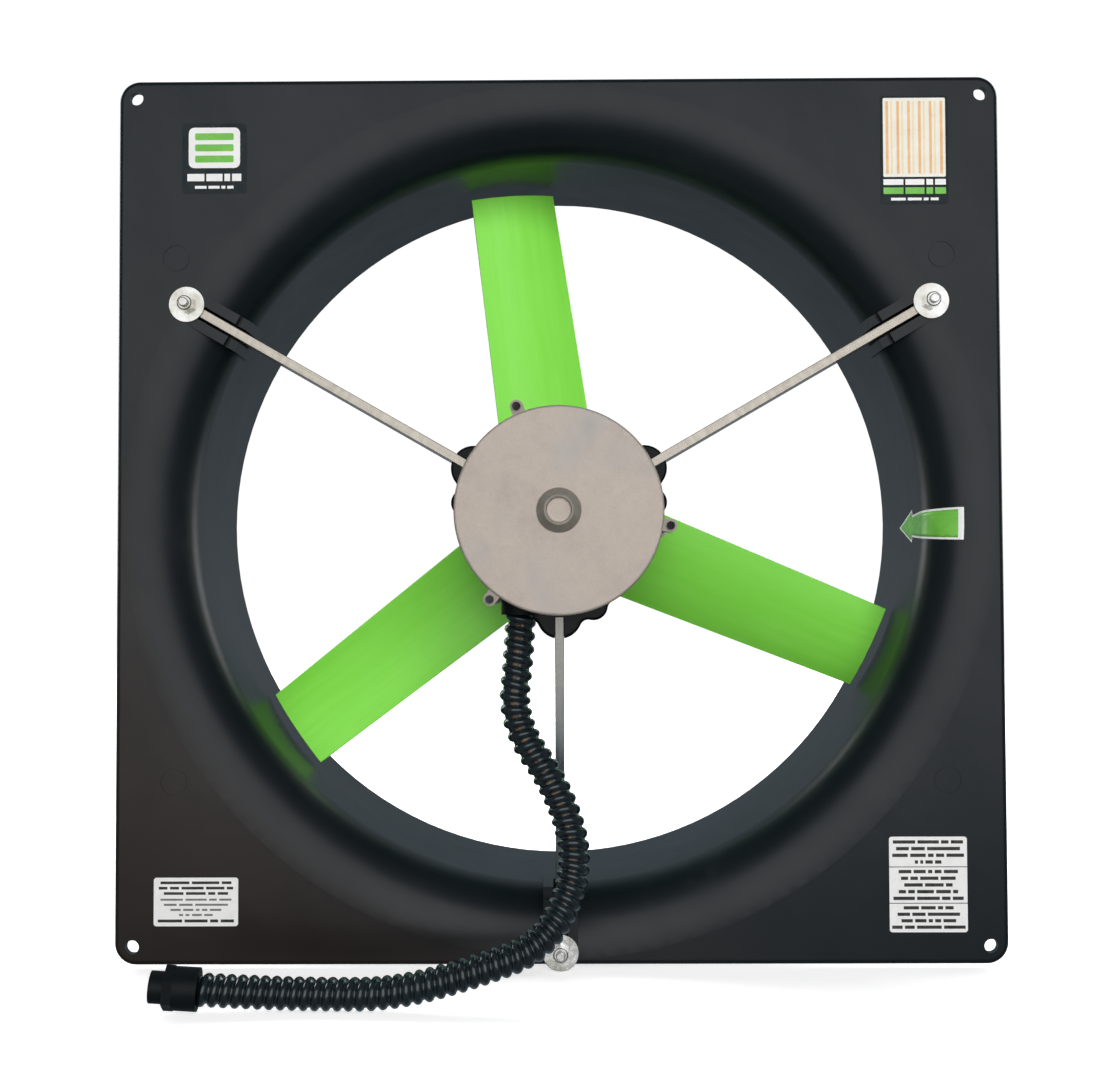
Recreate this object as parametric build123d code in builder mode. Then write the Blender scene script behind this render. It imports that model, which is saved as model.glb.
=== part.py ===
from build123d import *

import math
import os

# A solar attic fan: a square moulded housing with a bell-mouthed throat, three flat struts that
# carry a low-voltage brushless motor on a lobed mount, and a three-blade propeller behind it.
# X is to the right and Z is up, both seen from the inlet side. Y runs with the air, from the
# inlet to the outlet. The origin is on the fan's axis, in the front face of the flange.
# All sizes are in millimetres.

INCH = 25.4

# ---- driving dimensions: housing ----
flange_size = 24.5 * INCH
flange_depth = 0.5 * INCH
corner_radius = 15
edge_round = 3.5
skin = 4
bell_radius = 307
bell_depth = 32
throat_radius = 10.25 * INCH
throat_depth = 6 * INCH
screw_spacing = 23.5 * INCH
screw_hole_radius = 3 / 16 * INCH
screw_boss_radius = 9
screw_boss_depth = 2
rear_bead = 3.5
rib_count = 12
rib_thickness = 5
rib_rear_y = 86
rib_tail_width = 2

# ---- driving dimensions: struts and their fixings ----
strut_thickness = 0.25 * INCH
strut_depth = 1.5 * INCH
strut_inner_radius = 58
strut_outer_radius = 297
strut_angles = {"strut_upper_right": 30, "strut_upper_left": 150, "strut_lower": 270}
first_strut = 30
strut_count = 3
bolt_circle_radius = 302.5
bolt_radius = 0.125 * INCH
bolt_head_height = 4
bolt_end_y = -12.5
nut_across_flats = 7 / 16 * INCH
nut_hex_height = 5
nut_collar_height = 2.6
washer_radius = 0.5 * INCH
washer_thickness = 1.6
saddle_width = 24
saddle_slot = 10
saddle_seat_height = 8
saddle_notch = (263, 266)
saddle_notch_depth = 5
saddle_cheek_radius = 257.5
saddle_cheek_y = (2, 50)

# ---- driving dimensions: motor ----
cap_radius = 67
cap_front_y = -98
cap_thickness = 5
cap_rim_depth = 12
lug_circle_radius = 71.5
lug_radius = 4.2
lug_angles = (112, -8, 232)
can_radius = 61
can_wall = 3
bell_back_y = -3
bell_thickness = 13
bearing_outer_radius = 17.5
bearing_width = 11
shaft_radius = 5 / 16 * INCH
stator_radius = 57.9
stator_bore = 33
stator_length = 40
stator_middle_y = -48
slot_count = 12
magnet_count = 8
magnet_outer_radius = 31.6
magnet_thickness = 4
board_radius = 52

# ---- driving dimensions: motor mount ----
mount_front_y = -3
mount_back_y = 41
mount_ring_radius = 69.5
mount_lobe_centre = 69
mount_lobe_radius = 16
mount_shoulder_centre = 66.5
mount_shoulder_radius = 10
mount_shoulder_angle = 21
mount_slot_radius = 70
mount_bore_radius = 20
mount_screw_circle = 40

# ---- driving dimensions: propeller ----
blade_count = 3
first_blade = 97.8
blade_tip_radius = 10 * INCH
blade_middle_y = 95
blade_pitch = 18.5
blade_root_chord = 74
blade_tip_chord = 66
blade_thickness = 4.5
blade_camber = 7
hub_radius = 52
hub_front_y = 70
hub_back_y = 114
tang_width = 34
tang_thickness = 12
tang_inner_radius = 27
hub_screw_circle = 41
shaft_nut_height = 9

# ---- driving dimensions: conduit ----
conduit_diameter = 21
floor_z = -bolt_circle_radius - washer_radius
conduit_entry_x = -26
conduit_entry_y = -40
conduit_start_z = -67

# ---- driving dimensions: labels ----
label_thickness = 0.3
label_corner_radius = 2

running_gap = 0.05
sliding_gap = 0.2
screw_end_gap = 1
overlap = 1

os.makedirs("parts", exist_ok=True)


def facing(y):
    """A plane across the fan's axis at depth y: its x is X, its y is Z, and it faces the inlet."""
    return Plane.XZ.offset(-y)


def outwards(angle):
    """The direction away from the fan's axis at angle, counterclockwise from X seen from the inlet."""
    return Vector(math.cos(math.radians(angle)), 0, math.sin(math.radians(angle)))


def spoke(angle, y):
    """The same plane as facing(y), turned so that its x axis points outwards at angle."""
    return Plane(origin=(0, y, 0), x_dir=outwards(angle), z_dir=(0, -1, 0))


def spoke_side(angle):
    """A plane that holds the fan's axis: its x is the distance from the axis, its y is the depth Y."""
    return Plane(origin=(0, 0, 0), x_dir=outwards(angle), z_dir=outwards(angle).cross(Vector(0, 1, 0)))


def save(piece, name):
    """Label a finished piece and write it."""
    piece.part.label = name
    export_step(piece.part, f"parts/{name}.step")


# ---- housing ----
# The flange is a shallow box open at the back. The bell is a quarter of an ellipse that leaves
# the flange's front face flat and meets the throat along the air's direction.
bell_width = bell_radius - throat_radius
saddle_floor_y = strut_depth + skin
bolt_boss_radius = 8
bolt_pad_radius = 6.5
mark_radius = 9.5
mark_width = 0.8
mark_depth = 0.5
mark_places = [(sx * 269.5, sz * 184) for sx in (-1, 1) for sz in (-1, 1)]
corner_places = [(sx * screw_spacing / 2, sz * screw_spacing / 2) for sx in (-1, 1) for sz in (-1, 1)]

with BuildPart() as housing:
    with BuildSketch(facing(flange_depth)):
        RectangleRounded(flange_size, flange_size, corner_radius)
    extrude(amount=flange_depth)
    fillet(housing.faces().sort_by(Axis.Y)[0].edges(), edge_round)
    inside_size = flange_size - 2 * skin
    with BuildSketch(facing(flange_depth)):
        RectangleRounded(inside_size, inside_size, corner_radius - skin)
    extrude(amount=flange_depth - skin, mode=Mode.SUBTRACT)

    # low bosses round the corner screw holes
    with BuildSketch(facing(skin + screw_boss_depth)):
        with Locations(*corner_places):
            Circle(screw_boss_radius)
    extrude(amount=screw_boss_depth)

    # the wall of the bell and the throat, still filled in
    with BuildSketch(Plane.XY):
        with BuildLine():
            EllipticalCenterArc(
                (bell_radius, bell_depth),
                bell_width - skin,
                bell_depth - skin,
                start_angle=180,
                arc_size=90,
            )
            Polyline(
                (bell_radius, skin),
                (bell_radius, skin / 2),
                (0, skin / 2),
                (0, throat_depth),
                (throat_radius + skin + rear_bead, throat_depth),
                (throat_radius + skin + rear_bead, throat_depth - 2 * rear_bead),
                (throat_radius + skin, throat_depth - 3 * rear_bead),
                (throat_radius + skin, bell_depth),
            )
        make_face()
    revolve(axis=Axis.Y)

    # gusset ribs between the throat and the flange, midway between the struts' directions
    for k in range(rib_count):
        with BuildSketch(spoke_side(first_strut + 15 + k * 360 / rib_count)):
            with BuildLine():
                Polyline(
                    (throat_radius + skin / 2, skin / 2),
                    (throat_radius + skin / 2, rib_rear_y),
                    (throat_radius + skin + rib_tail_width, rib_rear_y),
                    (bell_radius - overlap, flange_depth - skin),
                    (bell_radius - overlap, skin / 2),
                    close=True,
                )
            make_face()
        extrude(amount=rib_thickness / 2, both=True)

    # the air's way through
    with BuildSketch(Plane.XY):
        with BuildLine():
            EllipticalCenterArc(
                (bell_radius, bell_depth), bell_width, bell_depth, start_angle=180, arc_size=90
            )
            Polyline(
                (bell_radius, 0),
                (bell_radius, -overlap),
                (0, -overlap),
                (0, throat_depth + overlap),
                (throat_radius, throat_depth + overlap),
                (throat_radius, bell_depth),
            )
        make_face()
    revolve(axis=Axis.Y, mode=Mode.SUBTRACT)

    # a saddle and a bolt boss for each strut; the saddle's cheeks run on down the throat's wall
    for angle in strut_angles.values():
        with BuildSketch(spoke_side(angle)):
            with BuildLine():
                Polyline(
                    (bolt_circle_radius, 0),
                    (saddle_notch[1], 0),
                    (saddle_notch[1], saddle_notch_depth),
                    (saddle_notch[0], saddle_notch_depth),
                    (saddle_notch[0], saddle_cheek_y[0]),
                    (saddle_cheek_radius, saddle_cheek_y[0]),
                    (saddle_cheek_radius, saddle_cheek_y[1]),
                    (throat_radius + skin / 2, saddle_cheek_y[1] + skin),
                    (throat_radius + skin / 2, saddle_floor_y),
                    (bolt_circle_radius, saddle_floor_y),
                    close=True,
                )
            make_face()
        extrude(amount=saddle_width / 2, both=True)
        with BuildSketch(spoke(angle, strut_depth)):
            with Locations((bolt_circle_radius, 0)):
                Circle(bolt_pad_radius)
        extrude(amount=strut_depth)

    # the slot that holds each strut: a wide mouth, and a close seat under it
    for angle in strut_angles.values():
        slot_length = strut_outer_radius - throat_radius + 2 * skin
        with BuildSketch(spoke(angle, strut_depth)):
            with Locations((strut_outer_radius - slot_length / 2 + sliding_gap, 0)):
                Rectangle(slot_length, strut_thickness + 2 * sliding_gap)
        extrude(amount=strut_depth, mode=Mode.SUBTRACT)
        with BuildSketch(spoke(angle, strut_depth - saddle_seat_height)):
            with Locations((strut_outer_radius - slot_length / 2 + sliding_gap, 0)):
                Rectangle(slot_length, saddle_slot)
        extrude(amount=strut_depth - saddle_seat_height, mode=Mode.SUBTRACT)
        with BuildSketch(spoke(angle, saddle_floor_y)):
            with Locations((bolt_circle_radius, 0)):
                Circle(bolt_radius + sliding_gap)
        extrude(amount=saddle_floor_y, mode=Mode.SUBTRACT)
        with BuildSketch(spoke(angle, saddle_floor_y)):
            with Locations((bolt_circle_radius, 0)):
                Circle(bolt_boss_radius)
        extrude(amount=saddle_floor_y - strut_depth, mode=Mode.SUBTRACT)

    # screw holes in the corners, and shallow ring marks left by the mould
    with BuildSketch(facing(flange_depth)):
        with Locations(*corner_places):
            Circle(screw_hole_radius)
    extrude(amount=flange_depth, mode=Mode.SUBTRACT)
    with BuildSketch(facing(mark_depth)):
        with Locations(*mark_places):
            Circle(mark_radius)
            Circle(mark_radius - mark_width, mode=Mode.SUBTRACT)
    extrude(amount=mark_depth, mode=Mode.SUBTRACT)
save(housing, "housing")


# ---- struts ----
strut_edge = 0.4

for strut_name, angle in strut_angles.items():
    with BuildPart() as strut:
        with BuildSketch(spoke(angle, strut_depth)):
            with Locations(((strut_inner_radius + strut_outer_radius) / 2, 0)):
                Rectangle(strut_outer_radius - strut_inner_radius, strut_thickness)
        extrude(amount=strut_depth)
        chamfer(strut.faces().sort_by(Axis.Y)[0].edges(), strut_edge)
    save(strut, strut_name)


# ---- strut bolts, washers and lock nuts ----
bolt_end_chamfer = 0.6
washer_edge_round = 0.4
nut_collar_radius = nut_across_flats / 2 - 0.4
nut_collar_round = 1


def at_bolts():
    """The three strut bolts' places on a plane across the axis."""
    return PolarLocations(bolt_circle_radius, strut_count, start_angle=first_strut)


with BuildPart() as strut_bolts:
    with BuildSketch(facing(strut_depth)):
        with at_bolts():
            Circle(bolt_radius)
    extrude(amount=strut_depth - bolt_end_y)
    chamfer(strut_bolts.faces().group_by(Axis.Y)[0].edges(), bolt_end_chamfer)
    with BuildSketch(facing(strut_depth + bolt_head_height)):
        with at_bolts():
            RegularPolygon(nut_across_flats / 2, 6, major_radius=False)
    extrude(amount=bolt_head_height)
save(strut_bolts, "strut_bolts")

with BuildPart() as strut_washers:
    with BuildSketch(facing(0)):
        with at_bolts():
            Circle(washer_radius)
            Circle(bolt_radius + sliding_gap, mode=Mode.SUBTRACT)
    extrude(amount=washer_thickness)
    rim_edges = strut_washers.faces().group_by(Axis.Y)[0].edges().group_by(Edge.length)[-1]
    fillet(rim_edges, washer_edge_round)
save(strut_washers, "strut_washers")

with BuildPart() as strut_nuts:
    with BuildSketch(facing(-washer_thickness)):
        with at_bolts():
            RegularPolygon(nut_across_flats / 2, 6, major_radius=False)
    extrude(amount=nut_hex_height)
    with BuildSketch(facing(-washer_thickness - nut_hex_height)):
        with at_bolts():
            Circle(nut_collar_radius)
    extrude(amount=nut_collar_height)
    fillet(strut_nuts.faces().group_by(Axis.Y)[0].edges(), nut_collar_round)
    with BuildSketch(facing(-washer_thickness)):
        with at_bolts():
            Circle(bolt_radius + running_gap)
    extrude(amount=nut_hex_height + nut_collar_height, mode=Mode.SUBTRACT)
save(strut_nuts, "strut_nuts")


# ---- motor mount: two lobed halves clamped over the struts' inner ends ----
def mount_outline():
    """The mount's outline in the sketch being drawn: a ring with three lobes, each with two shoulders."""
    Circle(mount_ring_radius)
    with PolarLocations(mount_lobe_centre, strut_count, start_angle=first_strut):
        Circle(mount_lobe_radius)
    for side in (-1, 1):
        start = first_strut + side * mount_shoulder_angle
        with PolarLocations(mount_shoulder_centre, strut_count, start_angle=start):
            Circle(mount_shoulder_radius)


def at_clamp_screws(side):
    """The clamp screws' places on one side of each lobe."""
    start = first_strut + side * mount_shoulder_angle
    return PolarLocations(mount_shoulder_centre, strut_count, start_angle=start)


mount_split_y = strut_depth / 2
mount_neck_round = 6
mount_edge_round = 2
mount_slot_length = 50
clamp_screw_radius = 2.5
clamp_socket_radius = 2.5
clamp_head_radius = 4.6
clamp_head_height = 4
clamp_length = 34
mount_screw_radius = 3
mount_screw_socket_radius = 3
mount_screw_head_radius = 5
mount_screw_head_height = 5
mount_screw_grip = 8
mount_screw_hole_spare = 0.5
halves = {
    "motor_mount_front": (mount_front_y, mount_split_y),
    "motor_mount_rear": (mount_split_y, mount_back_y),
}

for half_name, (half_front_y, half_back_y) in halves.items():
    with BuildPart() as half:
        with BuildSketch(facing(half_back_y)) as outline:
            mount_outline()
            fillet(outline.vertices(), mount_neck_round)
            Circle(mount_bore_radius, mode=Mode.SUBTRACT)
        extrude(amount=half_back_y - half_front_y)
        outer_end = half.faces().sort_by(Axis.Y)[-1 if half_name == "motor_mount_rear" else 0]
        fillet(outer_end.outer_wire().edges(), mount_edge_round)
        for angle in strut_angles.values():
            with BuildSketch(spoke(angle, strut_depth)):
                with Locations((strut_inner_radius + mount_slot_length / 2, 0)):
                    Rectangle(mount_slot_length, strut_thickness + 2 * sliding_gap)
            extrude(amount=strut_depth, mode=Mode.SUBTRACT)
            with BuildSketch(spoke(angle, strut_thickness)):
                with Locations((mount_slot_radius + mount_slot_length / 2, 0)):
                    Rectangle(mount_slot_length, strut_thickness + 2 * sliding_gap)
            extrude(amount=strut_thickness - mount_front_y, mode=Mode.SUBTRACT)
        for side in (-1, 1):
            with BuildSketch(facing(mount_back_y)):
                with at_clamp_screws(side):
                    Circle(clamp_screw_radius + sliding_gap)
            extrude(amount=clamp_length, mode=Mode.SUBTRACT)
        with BuildSketch(facing(mount_back_y)):
            with PolarLocations(mount_screw_circle, strut_count, start_angle=first_strut + 60):
                Circle(mount_screw_radius + sliding_gap)
        extrude(amount=mount_back_y - mount_front_y, mode=Mode.SUBTRACT)
    save(half, half_name)

with BuildPart() as mount_clamp_screws:
    for side in (-1, 1):
        with BuildSketch(facing(mount_back_y)):
            with at_clamp_screws(side):
                Circle(clamp_screw_radius)
        extrude(amount=clamp_length - screw_end_gap)
        with BuildSketch(facing(mount_back_y + clamp_head_height)):
            with at_clamp_screws(side):
                Circle(clamp_head_radius)
                RegularPolygon(clamp_socket_radius, 6, mode=Mode.SUBTRACT)
        extrude(amount=clamp_head_height)
save(mount_clamp_screws, "mount_clamp_screws")

with BuildPart() as motor_mounting_screws:
    with BuildSketch(facing(mount_back_y)):
        with PolarLocations(mount_screw_circle, strut_count, start_angle=first_strut + 60):
            Circle(mount_screw_radius)
    extrude(amount=mount_back_y - mount_front_y + mount_screw_grip)
    with BuildSketch(facing(mount_back_y + mount_screw_head_height)):
        with PolarLocations(mount_screw_circle, strut_count, start_angle=first_strut + 60):
            Circle(mount_screw_head_radius)
            RegularPolygon(mount_screw_socket_radius, 6, mode=Mode.SUBTRACT)
    extrude(amount=mount_screw_head_height)
save(motor_mounting_screws, "motor_mounting_screws")


# ---- motor castings ----
boss_base_radius = 14.3
boss_rim_radius = 9.6
boss_recess_radius = 8.2
boss_height = 7
boss_foot = 0.8
boss_recess_depth = 3
boss_recess_draft = 0.7
cap_edge_round = 2
bell_edge_round = 1.5
bell_pocket_depth = 5
bell_post_wall = 4
lug_setback = 1.5
seat_wall = 5
preload_washer_thickness = 1
front_bearing_y = cap_front_y + cap_thickness + preload_washer_thickness
rear_bearing_inset = 4
rear_bearing_y = bell_back_y - rear_bearing_inset - bearing_width
can_front_y = cap_front_y + cap_rim_depth
can_back_y = bell_back_y - bell_thickness
through_bolt_radius = 2.2
through_bolt_head_radius = 2.6
through_bolt_head_height = 2.4
through_bolt_slot = (3.4, 0.9)
through_bolt_slot_depth = 1
through_bolt_inset = 1
post_radius = 3
post_circle = 44
board_gap = 3
board_y = can_front_y + board_gap
board_thickness = 1.6
shaft_hole_gap = 1
conduit_hole_radius = 8
conduit_hole_height = 24


def lugs():
    """The three small lugs at a casting's rim, in the sketch being drawn."""
    for lug in lug_angles:
        with PolarLocations(lug_circle_radius, 1, start_angle=lug):
            Circle(lug_radius)
        with PolarLocations(lug_circle_radius - lug_radius, 1, start_angle=lug):
            Rectangle(2 * lug_radius, 2 * lug_radius)


def through_bolt_circles(radius, mode=Mode.ADD):
    """A circle at each lug, in the sketch being drawn."""
    for lug in lug_angles:
        with PolarLocations(lug_circle_radius, 1, start_angle=lug):
            Circle(radius, mode=mode)


with BuildPart() as motor_end_cap:
    with BuildSketch(facing(can_front_y)):
        Circle(cap_radius)
    extrude(amount=cap_rim_depth)
    fillet(motor_end_cap.faces().sort_by(Axis.Y)[0].edges(), cap_edge_round)
    with BuildSketch(facing(can_front_y)):
        lugs()
    extrude(amount=cap_rim_depth - lug_setback)
    with BuildSketch(facing(can_front_y)):
        Circle(can_radius - can_wall)
    extrude(amount=cap_rim_depth - cap_thickness, mode=Mode.SUBTRACT)
    with BuildSketch(Plane.XY):
        with BuildLine():
            Polyline(
                (0, cap_front_y + boss_foot),
                (boss_base_radius, cap_front_y + boss_foot),
                (boss_base_radius, cap_front_y - boss_foot),
                (boss_rim_radius, cap_front_y - boss_height),
                (boss_recess_radius, cap_front_y - boss_height),
                (boss_recess_radius - boss_recess_draft, cap_front_y - boss_height + boss_recess_depth),
                (0, cap_front_y - boss_height + boss_recess_depth),
                close=True,
            )
        make_face()
    revolve(axis=Axis.Y)
    with BuildSketch(facing(front_bearing_y + bearing_width)):
        Circle(bearing_outer_radius + seat_wall)
    extrude(amount=front_bearing_y + bearing_width - cap_front_y - cap_thickness / 2)
    with BuildSketch(facing(front_bearing_y + bearing_width)):
        Circle(bearing_outer_radius)
    extrude(amount=front_bearing_y + bearing_width - cap_front_y - cap_thickness, mode=Mode.SUBTRACT)
    with BuildSketch(facing(board_y)):
        with PolarLocations(post_circle, strut_count, start_angle=first_strut):
            Circle(post_radius)
    extrude(amount=board_y - cap_front_y - cap_thickness)
    with BuildSketch(facing(can_front_y)):
        through_bolt_circles(through_bolt_radius + sliding_gap)
    extrude(amount=cap_rim_depth, mode=Mode.SUBTRACT)
save(motor_end_cap, "motor_end_cap")

with BuildPart() as motor_can:
    with BuildSketch(facing(can_back_y)):
        Circle(can_radius)
        Circle(can_radius - can_wall, mode=Mode.SUBTRACT)
    extrude(amount=can_back_y - can_front_y)
    with BuildSketch(Plane.XY.offset(conduit_start_z)):
        with Locations((conduit_entry_x, conduit_entry_y)):
            Circle(conduit_hole_radius)
    extrude(amount=conduit_hole_height, mode=Mode.SUBTRACT)
save(motor_can, "motor_can")

with BuildPart() as motor_rear_bell:
    with BuildSketch(facing(bell_back_y)):
        Circle(cap_radius)
        lugs()
    extrude(amount=bell_thickness)
    fillet(motor_rear_bell.faces().sort_by(Axis.Y)[-1].edges(), bell_edge_round)
    with BuildSketch(facing(rear_bearing_y + bearing_width)):
        Circle(bearing_outer_radius + seat_wall)
    extrude(amount=bearing_width)
    with BuildSketch(facing(rear_bearing_y + bearing_width)):
        Circle(bearing_outer_radius)
    extrude(amount=bearing_width, mode=Mode.SUBTRACT)
    with BuildSketch(facing(bell_back_y)):
        Circle(shaft_radius + shaft_hole_gap)
    extrude(amount=bell_thickness, mode=Mode.SUBTRACT)
    with BuildSketch(facing(can_back_y + bell_pocket_depth)):
        Circle(can_radius - can_wall)
        Circle(bearing_outer_radius + seat_wall, mode=Mode.SUBTRACT)
        with PolarLocations(mount_screw_circle, strut_count, start_angle=first_strut + 60):
            Circle(mount_screw_radius + bell_post_wall, mode=Mode.SUBTRACT)
    extrude(amount=bell_pocket_depth, mode=Mode.SUBTRACT)
    with BuildSketch(facing(bell_back_y)):
        with PolarLocations(mount_screw_circle, strut_count, start_angle=first_strut + 60):
            Circle(mount_screw_radius + running_gap)
    extrude(amount=mount_screw_grip + mount_screw_hole_spare, mode=Mode.SUBTRACT)
    with BuildSketch(facing(bell_back_y)):
        through_bolt_circles(through_bolt_radius + running_gap)
    extrude(amount=bell_thickness, mode=Mode.SUBTRACT)
save(motor_rear_bell, "motor_rear_bell")

with BuildPart() as motor_through_bolts:
    lug_front_y = cap_front_y + lug_setback
    with BuildSketch(facing(bell_back_y - through_bolt_inset)):
        through_bolt_circles(through_bolt_radius)
    extrude(amount=bell_back_y - through_bolt_inset - lug_front_y)
    with BuildSketch(facing(lug_front_y)):
        through_bolt_circles(through_bolt_head_radius)
    extrude(amount=through_bolt_head_height)
    with BuildSketch(facing(lug_front_y - through_bolt_head_height + through_bolt_slot_depth)):
        for lug in lug_angles:
            with PolarLocations(lug_circle_radius, 1, start_angle=lug):
                Rectangle(*through_bolt_slot)
                Rectangle(*reversed(through_bolt_slot))
    extrude(amount=through_bolt_slot_depth, mode=Mode.SUBTRACT)
save(motor_through_bolts, "motor_through_bolts")


# ---- bearings: outer races stay in the castings, inner races and balls turn with the shaft ----
ball_radius = 3.2
ball_circle = (bearing_outer_radius + shaft_radius) / 2
ball_count = 8
race_wall = 1.9
preload_washer_clearance = 0.5
bearings = {"front_bearing": front_bearing_y, "rear_bearing": rear_bearing_y}

for bearing_name, bearing_y in bearings.items():
    middle_y = bearing_y + bearing_width / 2
    with BuildPart() as outer_race:
        with BuildSketch(Plane.XY):
            with Locations((bearing_outer_radius - race_wall / 2, middle_y)):
                Rectangle(race_wall, bearing_width)
            with Locations((ball_circle, middle_y)):
                Circle(ball_radius + running_gap, mode=Mode.SUBTRACT)
        revolve(axis=Axis.Y)
    save(outer_race, f"{bearing_name}_outer_race")
    with BuildPart() as inner_race:
        with BuildSketch(Plane.XY):
            with Locations((shaft_radius + race_wall / 2, middle_y)):
                Rectangle(race_wall, bearing_width)
            with Locations((ball_circle, middle_y)):
                Circle(ball_radius + running_gap, mode=Mode.SUBTRACT)
        revolve(axis=Axis.Y)
    save(inner_race, f"{bearing_name}_inner_race")
    with BuildPart() as balls:
        for k in range(ball_count):
            turn = math.radians(k * 360 / ball_count)
            with Locations((ball_circle * math.cos(turn), middle_y, ball_circle * math.sin(turn))):
                Sphere(ball_radius)
    save(balls, f"{bearing_name}_balls")

with BuildPart() as bearing_preload_washer:
    with BuildSketch(facing(front_bearing_y)):
        Circle(bearing_outer_radius - preload_washer_clearance)
        Circle(bearing_outer_radius - race_wall - preload_washer_clearance, mode=Mode.SUBTRACT)
    extrude(amount=preload_washer_thickness)
save(bearing_preload_washer, "bearing_preload_washer")


# ---- stator: a laminated core with twelve teeth, and a coil round each tooth ----
stator_back_y = stator_middle_y + stator_length / 2
yoke_inner_radius = 49
tooth_width = 7
tooth_tip_depth = 3
tooth_tip_width = 13
tooth_overlap = 1
coil_thickness = 2.6
coil_gap = 0.5
coil_inner_radius = stator_bore + tooth_tip_depth + coil_gap
coil_outer_radius = yoke_inner_radius - 2 * coil_gap
coil_overhang = 3

with BuildPart() as stator_core:
    with BuildSketch(facing(stator_back_y)):
        Circle(stator_radius)
        Circle(yoke_inner_radius, mode=Mode.SUBTRACT)
        with PolarLocations((stator_bore + yoke_inner_radius) / 2, slot_count):
            Rectangle(yoke_inner_radius - stator_bore + 2 * tooth_overlap, tooth_width)
        with PolarLocations(stator_bore + tooth_tip_depth / 2, slot_count):
            Rectangle(tooth_tip_depth, tooth_tip_width)
        Circle(stator_bore, mode=Mode.SUBTRACT)
    extrude(amount=stator_length)
save(stator_core, "stator_core")

with BuildPart() as stator_coils:
    coil_length = coil_outer_radius - coil_inner_radius
    with BuildSketch(facing(stator_back_y + coil_overhang)):
        with PolarLocations((coil_inner_radius + coil_outer_radius) / 2, slot_count):
            Rectangle(coil_length, tooth_width + 2 * coil_thickness)
    extrude(amount=stator_length + 2 * coil_overhang)
    with BuildSketch(facing(stator_back_y)):
        with PolarLocations((coil_inner_radius + coil_outer_radius) / 2, slot_count):
            Rectangle(coil_length + tooth_overlap, tooth_width)
    extrude(amount=stator_length, mode=Mode.SUBTRACT)
save(stator_coils, "stator_coils")


# ---- controller board on three posts behind the end cap ----
board_bore_gap = 2
component_count = 6
component_circle = post_circle - 8
component_size = (9, 12)
component_height = 3

with BuildPart() as controller_board:
    with BuildSketch(facing(board_y + board_thickness)):
        Circle(board_radius)
        Circle(bearing_outer_radius + seat_wall + board_bore_gap, mode=Mode.SUBTRACT)
    extrude(amount=board_thickness)
    with BuildSketch(facing(board_y + board_thickness + component_height)):
        with PolarLocations(component_circle, component_count, start_angle=first_strut + 30):
            Rectangle(*component_size)
    extrude(amount=component_height)
save(controller_board, "controller_board")


# ---- turning parts inside the motor ----
rotor_core_radius = magnet_outer_radius - magnet_thickness
magnet_gap_angle = 3
core_hole_circle = 18
core_hole_count = 6
core_hole_radius = 4
shaft_chamfer = 0.8
shaft_end_gap = 0.5
thread_spare = 4
shaft_front_y = front_bearing_y + shaft_end_gap
thread_back_y = hub_back_y + shaft_nut_height + thread_spare

with BuildPart() as motor_shaft:
    with BuildSketch(facing(thread_back_y)):
        Circle(shaft_radius)
    extrude(amount=thread_back_y - shaft_front_y)
    chamfer(motor_shaft.faces().filter_by(GeomType.PLANE).edges(), shaft_chamfer)
save(motor_shaft, "motor_shaft")

with BuildPart() as rotor_core:
    with BuildSketch(facing(stator_back_y)):
        Circle(rotor_core_radius)
        Circle(shaft_radius, mode=Mode.SUBTRACT)
        with PolarLocations(core_hole_circle, core_hole_count):
            Circle(core_hole_radius, mode=Mode.SUBTRACT)
    extrude(amount=stator_length)
save(rotor_core, "rotor_core")

with BuildPart() as rotor_magnets:
    with BuildSketch(facing(stator_back_y)):
        Circle(magnet_outer_radius)
        Circle(rotor_core_radius, mode=Mode.SUBTRACT)
        gap_width = 2 * magnet_outer_radius * math.sin(math.radians(magnet_gap_angle / 2))
        with PolarLocations(magnet_outer_radius - magnet_thickness / 2, magnet_count):
            Rectangle(2 * magnet_thickness, gap_width, mode=Mode.SUBTRACT)
    extrude(amount=stator_length)
save(rotor_magnets, "rotor_magnets")


# ---- hub: two plates that clamp the blades' tangs, held by screws and a shaft nut ----
hub_split_y = blade_middle_y
hub_edge_round = 6
key_width = 5
key_height = 5
key_inset = 2
hub_screw_radius = 2.5
hub_screw_socket_radius = 2.5
shaft_washer_radius = 15
shaft_washer_thickness = 2
shaft_nut_half_width = 12
hub_screw_head_radius = 4.6
hub_screw_head_height = 4
hub_screw_length = 34
blade_angles = [first_blade + k * 360 / blade_count for k in range(blade_count)]
hub_halves = {"hub_front": (hub_front_y, hub_split_y), "hub_rear": (hub_split_y, hub_back_y)}


def at_hub_screws():
    """The hub screws' places, between the blades."""
    return PolarLocations(hub_screw_circle, blade_count, start_angle=first_blade + 60)


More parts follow.
